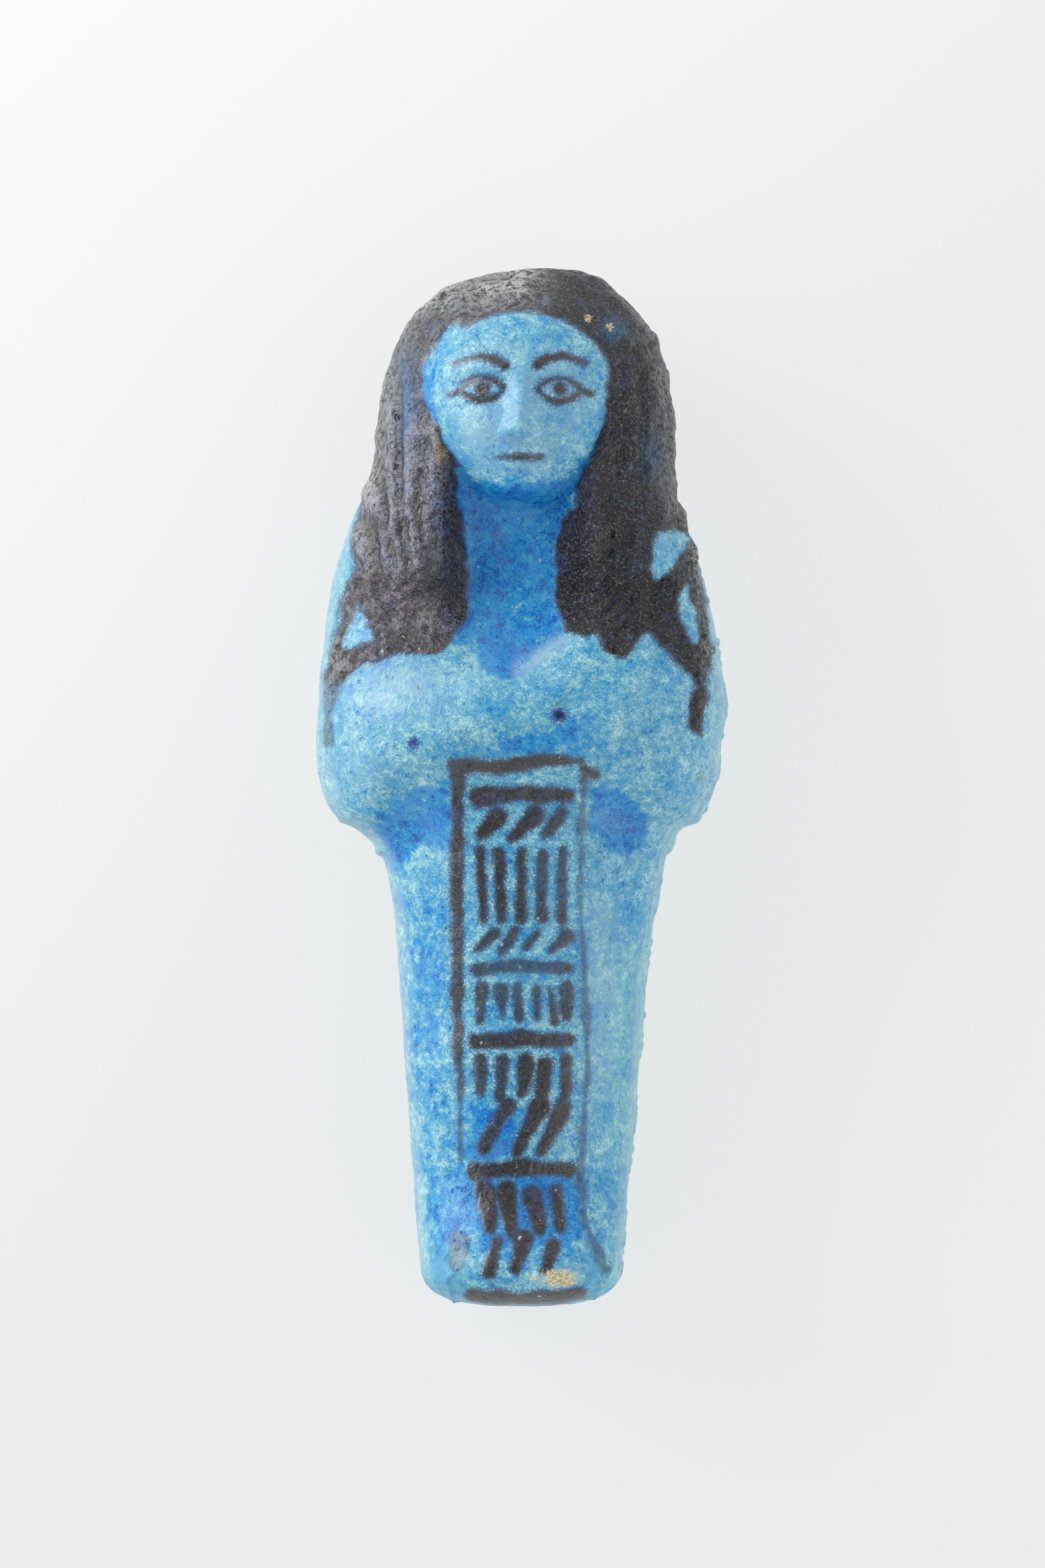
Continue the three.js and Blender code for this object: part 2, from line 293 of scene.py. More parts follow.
# What the painter put on: wig, shoulder bands, eyes, and a panel of strokes in a frame
# A manganese-black slip under the glaze, brushed on by hand, so its edges wander and it thins where the
# brush ran dry. On the back only the wig is painted.
WIG = [
    (-5.4, 17.6), (-5.4, 19.9), (-4.9, 22.2), (-4.5, 26.4), (-4.3, 28.7), (-4.6, 30.5), (-5.2, 31.6),
    (-6.5, 32.9), (-7.7, 33.6), (-8.9, 33.2), (-10.6, 33.5), (-12.8, 34.3), (-14.7, 35.4), (-15.5, 36.5),
    (-16.1, 38.4), (-16.0, 41.6), (-16.9, 41.4), (-17.1, 38), (-16.9, 35.4), (-16.3, 33.4), (-15.7, 31.2),
    (-15.4, 28.8), (-14.9, 27.7), (-14.2, 26.9), (-14.3, 24.7), (-14.7, 24), (-13.9, 20.4), (-15, 19.2),
    (-17, 18), (-17, -3), (17, -3), (17, 22.4), (15.3, 22.8), (15.5, 24.2), (16, 28), (16.6, 33.1),
    (16.2, 36.6), (15.8, 38.3), (15.7, 40.6), (14.4, 40.2), (14.5, 38.3), (15, 36.6), (14.1, 34.7),
    (12.8, 33.5), (11.6, 32.4), (10.9, 31.9), (9.2, 33.5), (8.4, 33.9), (7.3, 33.1), (6.6, 31.9),
    (5.7, 32.1), (4, 31.6), (3.1, 29.5), (3, 24.1), (3.6, 22.2), (4.8, 20.8), (5.1, 18.7), (6, 17.05),
    (0, 12),
]
WINDOWS = [
    [
        (11.7, 22.9), (14.3, 23), (14.8, 23.5), (14, 24.8), (12.5, 26.7), (11.8, 27.1), (11.3, 26.2),
        (11.5, 24.2),
    ],
    [
        (14, 27.6), (14.6, 27.6), (14.9, 28.8), (15.3, 32.5), (14.9, 32.5), (14.1, 30.9), (13.5, 29.9),
        (13.6, 28.8),
    ],
    [(-13.9, 29), (-15.3, 32.9), (-12.5, 32.4)],
]
BACK_HAIR_END = 25
away_from_face = (face_reach(x, down) - 1) * FACE_HALF_WIDTH
hairline = away_from_face - 0.9 * smooth(-x, 4, 6.5) * (1 - smooth(down, 11, 14))
wig = np.minimum(within(x, down, WIG), hairline)
for window in WINDOWS:
    wig = np.minimum(wig, -within(x, down, window))
wig += 0.3 * grain(points, 1.5, 20) + 0.15 * grain(points, 0.6, 21)
wig = lerp(wig, BACK_HAIR_END - 0.02 * x**2 - down, underneath)

side = np.abs(x - FACE_X)
eye = almond(side, down, EYE_X, EYE_DOWN, 1.85, 0.95)
brow_line = [(1.4, BROW - 0.7), (2.3, BROW - 1.25), (3.6, BROW - 1.5), (5.6, BROW - 0.9)]
face_lines = np.maximum.reduce([
    0.28 - np.abs(eye),
    0.66 - np.hypot(side - EYE_X, down - EYE_DOWN + 0.1),
    brush(side, down, [(5, EYE_DOWN), (6.1, EYE_DOWN + 0.35)], 0.5, 0.4),
    brush(side, down, brow_line, 0.8, 0.55),
    brush(side, down, [(0, MOUTH), (1.8, MOUTH - 0.05)], 0.5, 0.3),
])

FRAME = [
    ([(-5.6, 43.1), (-1.5, 43.25), (2, 42.7), (5.2, 42.7)], 1.4, 0.8),
    ([(5.4, 43.3), (6.4, 43.9)], 0.8, 0.9),
    ([(-5.4, 43.3), (-5.3, 46), (-5.45, 51), (-5.3, 56), (-5.4, 61), (-5.35, 67)], 1.4, 0.85),
    ([(-5.35, 67), (-5.1, 70), (-5.2, 73.5), (-5.1, 77)], 0.8, 0.5),
    ([(-5.2, 83.8), (-5.4, 86)], 1.6, 1.4),
    ([(5.5, 44), (5.3, 50), (5.3, 56), (5.6, 61), (5.7, 66), (5.8, 70), (5.5, 75)], 0.7, 0.6),
    ([(5.5, 75), (5.3, 79), (5.7, 82.5), (7.3, 86.4)], 0.6, 0.9),
]
# The panel's writing is only rows of plain strokes: bars across, and parallel marks between them.
BARS = [(45.6, 1.7), (60.4, 1.3), (66.7, 1.5), (77.9, 1.6)]
MARKS = [
    (47.4, 49.3, 1.6, 1.5, (-2.8, 0.2, 3)),
    (50.6, 56.2, 0, 1.25, (-3.3, -1.6, 0.2, 2, 3.8)),
    (57.6, 59, 1.2, 1.2, (-2.9, -0.9, 1.2, 3.2)),
    (62.2, 64.9, 0, 1.1, (-3.3, -1.8, -0.3, 1.2, 2.7, 4.1)),
    (68.6, 71.4, 0.3, 1.3, (-3.3, -1.6, 0.3, 2.1, 3.9)),
    (72.6, 76.2, 1.9, 1.5, (-1.9, 0.6, 3)),
    (79.9, 83, -0.4, 1.5, (-3, -0.9, 1.3, 3.5)),
    (84.1, 86.3, 0.6, 1.3, (-2.4, 0, 2.4)),
]
lines = face_lines
for at, width in BARS:
    stroke = [(-3.7, at + 0.2), (0.3, at - 0.15), (4.2, at + 0.1)]
    lines = np.maximum(lines, brush(x, down, stroke, width, 0.8 * width))
hand = np.random.default_rng(40)
for top, foot, lean, width, across in MARKS:
    for at in across:
        wobble = hand.uniform(-0.3, 0.3, 5)
        ends = [(at + lean / 2 + wobble[0], top + wobble[1]), (at - lean / 2 + wobble[2], foot + wobble[3])]
        lines = np.maximum(lines, brush(x, down, ends, width * (1 + wobble[4]), 0.75 * width))
for brushed, *widths in FRAME:
    lines = np.maximum(lines, brush(x, down, brushed, *widths))
lines = np.maximum(lines, brush(x, down, [(-4, 88.7), (0.8, 89), (5.2, 88.6)], 1.4))
lines += 0.2 * grain(points, 1.6, 22) + 0.12 * grain(points, 0.6, 23)
UNPAINTED = -9
lines = lerp(lines, UNPAINTED, underneath)
paint = np.maximum(wig, lines)

# Where the slip is thin: the frame's left side, its right side below the knee, the tail of the right band,
# and patches of the wig and the panel.
beside_frame = smooth(x, 4.9, 5.2) * (1 - smooth(x, 7.6, 8))
thin = np.maximum.reduce([
    0.75 * beside_frame * smooth(down, 43.5, 45.5) * (1 - smooth(down, 86, 88)),
    0.8 * smooth(-x, 4.4, 4.7) * smooth(down, 66, 75) * (1 - smooth(down, 86.5, 88)),
    smooth(-x, 15, 15.4) * smooth(down, 35, 37.5),
    0.6 * bump(x, down, -9.7, 11.5, 1, 4.5),
    0.7 * bump(x, down, 8, 5.6, 1.3, 1),
    0.45 * bump(x, down, 11.3, 16.4, 0.9, 2),
    0.5 * bump(x, down, 0.3, 61, 5, 4),
    0.4 * bump(x, down, 2.8, 53, 2.4, 4),
    0.25 * bump(x, down, -2.5, 70, 2, 3),
])

# Where the glaze ran together and fired a deeper blue, which also stands as painted shade in these hollows:
# neck, jaw, breast, waist, shins, ankle and toe, and above the panel. It is darker down the figure's right
# leg and towards the feet too.
clouds = grain(points, 2.6, 11) + 0.5 * grain(points, 1.2, 12)
BREAST_HOLLOW = [(-4.6, 28), (3.4, 28), (4, 31.8), (1.2, 33.4), (-1.4, 35.6), (-3.2, 34.2), (-4.4, 31)]
RIGHT_WAIST = [(-12.6, 47), (-10, 45.4), (-6, 44.2), (-6, 49.8), (-8.6, 50), (-10.2, 53), (-11.6, 52)]
LEFT_WAIST = [(5.8, 44.6), (8.6, 45.2), (10.8, 47.2), (10.7, 49.8), (8.6, 51), (6, 48.6)]
throat = 1 - smooth(np.abs(x - NECK_X + 0.03 * (down - 24)), 3.6, 6.2)
throat = throat * smooth(down, 17.5, 20) * (1 - smooth(down, 31, 35.5))
breast = within(x, down, BREAST_HOLLOW)
pool_and_shade = np.maximum.reduce([
    throat * lerp(1.05, 0.8, smooth(down, 22, 30)),
    0.85 * smooth(breast + 0.4 * clouds, -0.6, 0.8),
    0.95 * (1 - smooth(np.abs(away_from_face - 0.5), 0.2, 1.2)) * smooth(down, 9, 15),
    1.2 * bump(x, down, -8.6, 11, 1.3, 4.5),
    1.1 * bump(side, down, 5.4, 18.4, 1.3, 2.4),
    1.15 * bump(x, down, 3, 24, 1.6, 4),
    0.95 * smooth(within(x, down, RIGHT_WAIST), -1, 1.2),
    1.05 * smooth(within(x, down, LEFT_WAIST), -1, 1),
    0.75 * bump(x, down, 1, 41.4, 5.5, 1.7),
    0.95 * (1 - smooth(np.abs(down - 81.3), 1.5, 5.5)) * (1 - smooth(np.abs(x + 0.6), 4.8, 8)),
    1.0 * bump(x, down, -2.6, 74.5, 3.4, 2.8),
    0.6 * bump(x, down, -8.6, 72, 1.4, 3.4),
    0.5 * bump(x, down, 9.3, 70, 1, 1.4),
    0.5 * bump(x, down, 3.9, 71, 1.4, 2),
    0.45 * bump(x, down, -9.6, 56.5, 1.4, 3),
    0.4 * smooth(-x, 4, 7) * smooth(down, 52, 56),
    0.3 * smooth(-x, 7, 9) * smooth(down, 66, 72),
    0.95 * bump(x, down, -6.9, 80.5, 1.5, 3),
    0.65 * bump(x, down, 8.6, 79, 2, 5),
    0.25 * bump(x, down, -0.3, 62, 5.2, 19),
    0.35 * smooth(down, 74, 82),
    0.75 * bump(x, down, -7, 86, 2, 3),
    0.75 * bump(x, down, 6.4, 85.4, 1.6, 2.4),
])
pool_and_shade = np.clip(pool_and_shade * (1 - underneath) + 0.2 * clouds, 0, 1.2)

# Paler where it is thin and milky, and where a sheen is painted on: painted sheen on the right breast and arm
# and the right cheek, a painted highlight streak by the breast's hollow, milky glaze over the face and a
# strip by the panel.
milk_and_sheen = np.maximum.reduce([
    0.55 * bump(x, down, -10, 36.5, 5, 3),
    0.3 * bump(x, down, -13.5, 42.5, 3, 3),
    0.25 * (1 - smooth(away_from_face, -3, -1)),
    0.8 * np.exp(-((to_segment(x, down, 0, 34.8, 3.6, 32.4)[0] / 0.7) ** 2)),
    0.6 * bump(x, down, -3.6, 14.4, 2.2, 2.6),
    0.35 * bump(x, down, 6.9, 63, 1.5, 9),
])
milk_and_sheen = np.clip(milk_and_sheen * (1 - underneath) + 0.15 * clouds, 0, 1)

# Small marks of making and age: cobalt spots, cream crust over the toe, three pale chips in the wig, and
# ochre soil by the right lappet, neck, frame, left arm and toe. None of them goes through to the back.
cobalt = np.maximum.reduce([
    bump(x, down, 3.35, 38.8, 1),
    0.9 * bump(x, down, -9.1, 41.2, 0.8),
    0.5 * bump(x, down, -10.6, 41.5, 0.5),
    0.5 * bump(x, down, -4.2, 80, 0.9),
    0.6 * bump(x, down, 8.6, 47.6, 0.7),
    0.5 * bump(x, down, 8.4, 48, 2.2, 1.8),
    0.45 * bump(x, down, 2.9, 24, 1.6, 4),
])
crust = np.maximum(bump(x, down, 3.4, 87.1, 1.7, 0.75), 0.7 * bump(x, down, 1.2, 86.9, 0.6, 0.5))
for chip_x, chip_down, size in ((-1, 1.3, 0.3), (5.8, 4.7, 0.42), (7.7, 5.4, 0.34)):
    crust = np.maximum(crust, 0.95 * bump(x, down, chip_x, chip_down, size))
frame_side = smooth(x, 4.6, 5.2) * (1 - smooth(x, 6.2, 7))
soil = np.maximum.reduce([
    0.9 * bump(x, down, -6.9, 15.5, 0.9, 5) * smooth(wig, 0, 0.5),
    0.55 * frame_side * smooth(down, 42.5, 44) * (1 - smooth(down, 50, 60)),
    0.7 * bump(x, down, 15.6, 44, 0.9, 0.8),
    0.35 * bump(x, down, 0, 24, 4, 6),
    0.5 * bump(x, down, 5.5, 88.2, 3, 1),
    0.45 * bump(x, down, 15.3, 40.5, 0.8, 1.6),
])
thin, cobalt, crust, soil = (mark * (1 - underneath) for mark in (thin, cobalt, crust, soil))

# The glaze is greener down the left leg and round the toe. It is paler on the outline, where it runs thin and
# where a painted reflection of the pale table lightens it.
leg_green = smooth(x, 6, 9.6) * smooth(down, 56, 62)
green = np.maximum(leg_green, smooth(down, 83, 86.5) * smooth(np.abs(x - 1), 3, 6))
pale_lit_edge = smooth(outwards, 0.86, 0.985) * smooth(down, 19, 24) * (1 - smooth(down, 86, 88.5))


# The finer relief of the pressing: tresses and lumps in the wig, grain in the body, and flash from the mould
# The maker pressed the paste by hand, so nothing is even, and left the flash where it oozed out at the waist
# and the foot. The relief stands along the surface's own direction.
hair = smooth(wig, -0.15, 0.35)
tress_x = x * lerp(1, 1.16, smooth(down, 18, 28)) + 0.7 * grain(points * (1, 0.4, 1), 3, 1)
on_lappet = smooth(np.maximum(-x - 6, x - 8), 0, 1) * smooth(down, 7, 11) * (1 - smooth(down, 25.5, 28))
tresses = (0.15 + 0.1 * grain(points, 5, 30)) * on_lappet * np.cos(2 * np.pi * (tress_x + 7.6) / 1.9)
lumps = 0.18 * grain(points, 1.7, 2) + 0.12 * grain(points, 0.8, 3)
pits = -0.3 * smooth(grain(points, 0.8, 4), 0.5, 0.85) * smooth(grain(points, 3, 5), -0.2, 0.5)
strands = np.cos(2 * np.pi * (away_from_face + 0.8 * grain(points, 3, 13)) / 1.3)
strands *= smooth(away_from_face, 1, 2.5)
strands *= 0.08 * smooth(grain(points, 2.2, 14), -0.5, 0.4) * (1 - on_lappet)
grit = np.maximum.reduce([
    bump(x, down, 4.6, 25, 2.4, 7.5) * smooth(x, 2, 3),
    bump(x, down, -6, 20, 1.3, 7) * smooth(down, 12, 14),
    0.5 * smooth(x, 1, 6) * hair,
])
pebbly = 0.2 + 0.6 * smooth(down, 25, 28) + 0.6 * (1 - smooth(down, 2, 6)) + 0.8 * smooth(x, 0, 5)
pebbly = np.clip(pebbly, 0, 1) * hair
# Worn ridges on the lappet nearest the softbox, lightened blue-grey, partly as a painted sheen.
worn_sheen_ridge = smooth(tresses, 0.02, 0.16) * smooth(-x, 5, 6.5) + 0.7 * bump(x, down, -7.4, 17, 0.9, 9)
worn_sheen_ridge = (worn_sheen_ridge + 0.4 * bump(x, down, -6.2, 22, 1, 4)) * (1 - underneath)
# Rubbed, greyer rims of the wig, and a painted sheen on the crown's side nearest the softbox, both brightest
# on high spots.
rubbed_rim_and_sheen = 0.7 * smooth(outwards, 0.82, 1) + 1.6 * (1 - smooth(down, 1.5, 5)) * smooth(2 - x, -2, 3)
rubbed_rim_and_sheen = np.clip(rubbed_rim_and_sheen, 0, 1.3) * hair * (1 - underneath)
veins = smooth(x, 6, 9) * (1 - smooth(down, 17, 21)) * hair * (1 - underneath)
# A painted lilac sheen on the side of the wig nearest the softbox, brightest on the high spots of its relief.
painted_sheen = smooth(-x, 3.5, 7.5) * smooth(down, 8, 13) + 0.7 * smooth(-x, -1, 3) * (1 - smooth(down, 5, 9))
painted_sheen *= 1 - bump(x, down, -5.6, 22, 1.5, 8)
painted_sheen *= 1 - 0.85 * bump(x, down, -6.5, 27.6, 3, 1.3)
small_lumps = (0.08 + 0.2 * smooth(down, 24, 28)) * grain(points, 0.45, 31)
high_spots = smooth(0.8 * tresses + lumps + strands + small_lumps, -0.12, 0.26)
painted_sheen = np.clip(painted_sheen, 0, 1) * lerp(0.1, 1.25, high_spots) * hair * (1 - underneath)
rubbed_rim_and_sheen *= lerp(0.5, 1.3, high_spots)
body = 0.1 * grain(points, 3.4, 6) + 0.045 * grain(points, 1.1, 7) + 0.025 * grain(points, 0.45, 8)
body -= (0.12 + 0.08 * bump(x, down, -9, 29, 5, 4)) * smooth(grain(points, 0.6, 9), 0.6, 0.9)
body += 0.22 * smooth(grain(points, 0.9, 15), 0.2, 0.8) * pale_lit_edge * smooth(x, 2, 5)
strokes_height = 0.05 * smooth(lines, -0.1, 0.2)
flash = np.maximum.reduce([
    0.5 * np.exp(-((to_segment(x, down, -15.6, 48, -12.2, 50.6)[0] / 0.35) ** 2)),
    0.4 * np.exp(-((to_segment(x, down, 15.4, 47.6, 12.6, 50.4)[0] / 0.35) ** 2)),
    0.3 * np.exp(-((to_segment(x, down, -6.2, 87.4, -5.6, 89.2)[0] / 0.25) ** 2)),
    0.3 * np.exp(-((to_segment(x, down, 8, 86, 6.4, 89)[0] / 0.25) ** 2)),
])
on_face = 1 - smooth(away_from_face, -1.2, 0)
relief = hair * (tresses + strands + lumps + 0.5 * small_lumps + pits)
relief += (1 - hair) * body * (1 - 0.5 * on_face) + strokes_height + flash
relief += 0.2 * crust * smooth(grain(points, 0.5, 10), -0.2, 0.4)
relief *= (1 - 0.75 * underneath) * smooth(share, 0, 0.35)

round_the_ring = np.roll(points, -1, axis=1) - np.roll(points, 1, axis=1)
normal = np.cross(round_the_ring, np.gradient(points, axis=0))
normal /= np.maximum(np.linalg.norm(normal, axis=-1, keepdims=True), 1e-9)
points = points + normal * relief[..., None]
points[..., 2] = np.maximum(points[..., 2], 0)

# Rings of quads, closed at the crown and the sole by a fan that meets in a point.
row_count, column_count = x.shape
here = np.arange(row_count * column_count).reshape(row_count, column_count)
beside = np.roll(here, -1, axis=1)
quads = np.stack([here[:-1], beside[:-1], beside[1:], here[1:]], axis=-1).reshape(-1, 4)
crown, sole = here.size, here.size + 1
crown_fan = np.stack([np.full(column_count, crown), beside[0], here[0]], axis=-1)
sole_fan = np.stack([np.full(column_count, sole), here[-1], beside[-1]], axis=-1)
poles = [points[0].mean(axis=0) + (0, 0.01, 0), points[-1].mean(axis=0) - (0, 0.005, 0)]
vertices = np.concatenate([points.reshape(-1, 3), poles]) * MM

mesh = bpy.data.meshes.new("figurine")
mesh.from_pydata(vertices.tolist(), [], quads.tolist() + crown_fan.tolist() + sole_fan.tolist())
mesh.shade_smooth()
fields = {
    "paint": paint, "wig": hair, "thin": thin, "pool_and_shade": pool_and_shade, "cobalt": cobalt, "crust": crust, "soil": soil,
    "green": green, "pale_lit_edge": pale_lit_edge, "grit": grit, "worn_sheen_ridge": worn_sheen_ridge, "milk_and_sheen": milk_and_sheen,
    "rubbed_rim_and_sheen": rubbed_rim_and_sheen, "pebbly": pebbly, "painted_sheen": painted_sheen, "veins": veins,
}
for name, values in fields.items():
    attribute = mesh.attributes.new(name, "FLOAT", "POINT")
    ends = [values[0].mean(), values[-1].mean()]
    attribute.data.foreach_set("value", np.concatenate([values.ravel(), ends]).astype(np.float32))
figurine = bpy.data.objects.new("figurine", mesh)
bpy.context.collection.objects.link(figurine)
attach(figurine, "root")
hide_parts("ushabti_figure")


# The glaze
# Copper-blue alkaline glaze over white quartz paste: fine grains of white, turquoise and blue, deeper blue
# where it pooled, which also stands as painted shade in hollows, and the black slip showing through with
# pinholes, pale quartz specks with painted glints and soil in its hollows. A painted sheen lies on the side
# nearest the light.


def srgb(*screen):
    """A colour from its red, green and blue screen values, 0 to 255."""
    screen = np.array(screen) / 255
    linear = np.where(screen <= 0.04045, screen / 12.92, ((screen + 0.055) / 1.055) ** 2.4)
    return (*linear.tolist(), 1.0)


def node(tree, kind, inputs=None, **settings):
    """A new shader node. inputs gives a socket's name or number a value, or the output it is fed by."""
    made = tree.nodes.new(kind)
    for key, value in settings.items():
        setattr(made, key, value)
    for key, value in (inputs or {}).items():
        if isinstance(value, bpy.types.NodeSocket):
            tree.links.new(value, made.inputs[key])
        else:
            made.inputs[key].default_value = value
    return made


def calc(tree, operation, *values, clamp=False):
    """One step of arithmetic on sockets or numbers."""
    made = node(tree, "ShaderNodeMath", dict(enumerate(values)), operation=operation, use_clamp=clamp)
    return made.outputs[0]


def noise(tree, vector, size, detail=2, roughness=0.5):
    """Noise from 0 to 1 whose lumps are about size millimetres across."""
    inputs = {"Vector": vector, "Scale": 1 / size, "Detail": detail, "Roughness": roughness}
    return node(tree, "ShaderNodeTexNoise", inputs).outputs[0]


def rise(tree, value, low, high):
    """An S-shaped rise from 0 where value is low to 1 where it is high."""
    inputs = {"Value": value, "From Min": low, "From Max": high}
    return node(tree, "ShaderNodeMapRange", inputs, interpolation_type="SMOOTHSTEP").outputs[0]


def mixed(tree, factor, first, second):
    """The first colour where factor is 0, the second where it is 1."""
    made = node(tree, "ShaderNodeMix", {0: factor, 6: first, 7: second}, data_type="RGBA")
    return made.outputs[2]


def field(tree, name):
    """What the mesh carries at each of its points under this name."""
    return node(tree, "ShaderNodeAttribute", attribute_name=name).outputs["Fac"]


glaze = bpy.data.materials.new("faience_glaze")
glaze.use_nodes = True
tree = glaze.node_tree
shader = tree.nodes["Principled BSDF"]
coordinates = node(tree, "ShaderNodeTexCoord").outputs["Object"]
mm = node(tree, "ShaderNodeVectorMath", {0: coordinates, "Scale": 1000}, operation="SCALE").outputs[0]

fine = noise(tree, mm, 0.08, 2, 0.7)
medium = noise(tree, mm, 0.22, 3, 0.6)
patches = noise(tree, mm, 0.8, 4, 0.6)
cloudy = noise(tree, mm, 3, 6, 0.62)
lumpy = noise(tree, mm, 0.5, 1, 0.4)
rare = noise(tree, mm, 1.6, 2)
grains = calc(tree, "ADD", calc(tree, "MULTIPLY", fine, 0.4), calc(tree, "MULTIPLY", medium, 0.6))

# Small round and ragged things: pores, the ridges between runs of glaze, and specks of quartz and iron.
swerve = node(tree, "ShaderNodeTexNoise", {"Vector": mm, "Scale": 1.5, "Detail": 2}).outputs["Color"]
stray = {0: swerve, 1: (0.7, 0.7, 0.7), 2: mm}
astray = node(tree, "ShaderNodeVectorMath", stray, operation="MULTIPLY_ADD").outputs[0]
pores = node(tree, "ShaderNodeTexVoronoi", {"Vector": astray, "Scale": 1.3}).outputs["Distance"]
pitted = calc(tree, "SUBTRACT", 1, rise(tree, pores, 0.06, 0.3))
pitted = calc(tree, "MULTIPLY", pitted, rise(tree, rare, 0.48, 0.6))
stretch = {0: astray, 1: (1.1, 0.4, 1.1)}
drawn_out = node(tree, "ShaderNodeVectorMath", stretch, operation="MULTIPLY").outputs[0]
between = node(tree, "ShaderNodeTexVoronoi", {"Vector": drawn_out, "Scale": 1}, feature="DISTANCE_TO_EDGE")
runs = calc(tree, "SUBTRACT", 1, rise(tree, between.outputs["Distance"], 0, 0.09))
runs = calc(tree, "MULTIPLY", runs, rise(tree, patches, 0.42, 0.62))
runs = calc(tree, "MULTIPLY", runs, field(tree, "veins"))
specks = node(tree, "ShaderNodeTexVoronoi", {"Vector": astray, "Scale": 0.6})
speck = calc(tree, "SUBTRACT", 1, rise(tree, specks.outputs["Distance"], 0.04, 0.11))
# Each speck draws a number from 0 to 1. A low draw is quartz, a high one is iron, and no other shows.
draw = node(tree, "ShaderNodeSeparateColor", {0: specks.outputs["Color"]}).outputs[0]
quartz = calc(tree, "MULTIPLY", speck, calc(tree, "LESS_THAN", draw, 0.3))
iron = calc(tree, "MULTIPLY", speck, calc(tree, "GREATER_THAN", draw, 0.84))

# Blue glaze: the deeper it is, the bluer, from pale quartz through turquoise to royal blue.
uneven = calc(tree, "MULTIPLY_ADD", calc(tree, "ADD", patches, cloudy), 0.9, -0.9)
# Deeper blue where the glaze pooled, which also stands as painted shade in hollows.
pooled_and_shaded = rise(tree, calc(tree, "ADD", field(tree, "pool_and_shade"), uneven), 0.15, 0.85)
AVERAGE_DEPTH, POOL_AND_SHADE_DEPTH = 0.36, 0.42
textures = ((cloudy, 0.9), (patches, 1.15), (medium, 1.1), (fine, 1.1))
level = AVERAGE_DEPTH - 0.5 * sum(strength for _, strength in textures)
depth = calc(tree, "MULTIPLY_ADD", pooled_and_shaded, POOL_AND_SHADE_DEPTH, level)
for texture, strength in textures:
    depth = calc(tree, "MULTIPLY_ADD", texture, strength, depth)
depth = calc(tree, "MULTIPLY_ADD", rise(tree, lumpy, 0.6, 0.74), 0.25, depth)
depth = calc(tree, "MULTIPLY_ADD", pitted, 0.25, depth)
ramp = node(tree, "ShaderNodeValToRGB", {"Fac": depth})
SHALLOWEST, DEEPEST = (164, 206, 216), (0, 84, 164)
BETWEEN = ((0.25, (112, 174, 192)), (0.45, (78, 149, 185)), (0.65, (26, 138, 194)), (0.82, (4, 126, 198)))
stops = ramp.color_ramp.elements
stops[0].position, stops[0].color = 0, srgb(*SHALLOWEST)
stops[1].position, stops[1].color = 1, srgb(*DEEPEST)
for position, tint in BETWEEN:
    stops.new(position).color = srgb(*tint)
blue = ramp.outputs[0]
blue = mixed(tree, calc(tree, "MULTIPLY", field(tree, "green"), 0.28), blue, srgb(122, 186, 176))
# Paler on the outline: thin glaze, and a painted reflection of the pale table.
blue = mixed(tree, calc(tree, "MULTIPLY", field(tree, "pale_lit_edge"), 0.35), blue, srgb(172, 198, 196))
# Milky glaze, with painted sheen and a painted highlight streak, all pale.
milky_sheen = rise(tree, calc(tree, "ADD", patches, medium), 0.7, 1.2)
milky_sheen = calc(tree, "MULTIPLY", field(tree, "milk_and_sheen"), milky_sheen)
blue = mixed(tree, calc(tree, "MULTIPLY", milky_sheen, 0.7), blue, srgb(184, 206, 226))
blue = mixed(tree, calc(tree, "MULTIPLY", quartz, 0.45), blue, srgb(196, 216, 226))
ragged = calc(tree, "MULTIPLY_ADD", medium, 0.8, -0.4)
spot = rise(tree, calc(tree, "ADD", field(tree, "cobalt"), ragged), 0.25, 0.95)
blue = mixed(tree, spot, blue, srgb(22, 54, 130))
blue = mixed(tree, rise(tree, field(tree, "cobalt"), 0.82, 0.98), blue, srgb(34, 30, 44))

# Black slip, purplish brown where it is thick, navy at its soft grainy edge, pinholed where it is thin.
edge_noise = calc(tree, "MULTIPLY_ADD", medium, 0.9, calc(tree, "MULTIPLY_ADD", fine, 0.5, -0.7))
brushed_on = calc(tree, "ADD", field(tree, "paint"), edge_noise)
worn = calc(tree, "MULTIPLY_ADD", rise(tree, grains, 0.4, 0.6), 0.7, 0.3)
worn = calc(tree, "MULTIPLY", field(tree, "thin"), worn)
halo = calc(tree, "MULTIPLY", rise(tree, brushed_on, -0.42, 0.1), 0.6)
covered = calc(tree, "SUBTRACT", rise(tree, brushed_on, -0.22, 0.26), worn, clamp=True)
bare = calc(tree, "MULTIPLY", rise(tree, grains, 0.6, 0.7), 0.4)
covered = calc(tree, "MULTIPLY", covered, calc(tree, "SUBTRACT", 1, bare))
slip = mixed(tree, rise(tree, grains, 0.4, 0.62), srgb(11, 10, 15), srgb(34, 31, 38))
through_blue = rise(tree, calc(tree, "MULTIPLY_ADD", lumpy, 0.4, cloudy), 0.72, 0.9)
slip = mixed(tree, calc(tree, "MULTIPLY", through_blue, 0.5), slip, srgb(40, 62, 110))

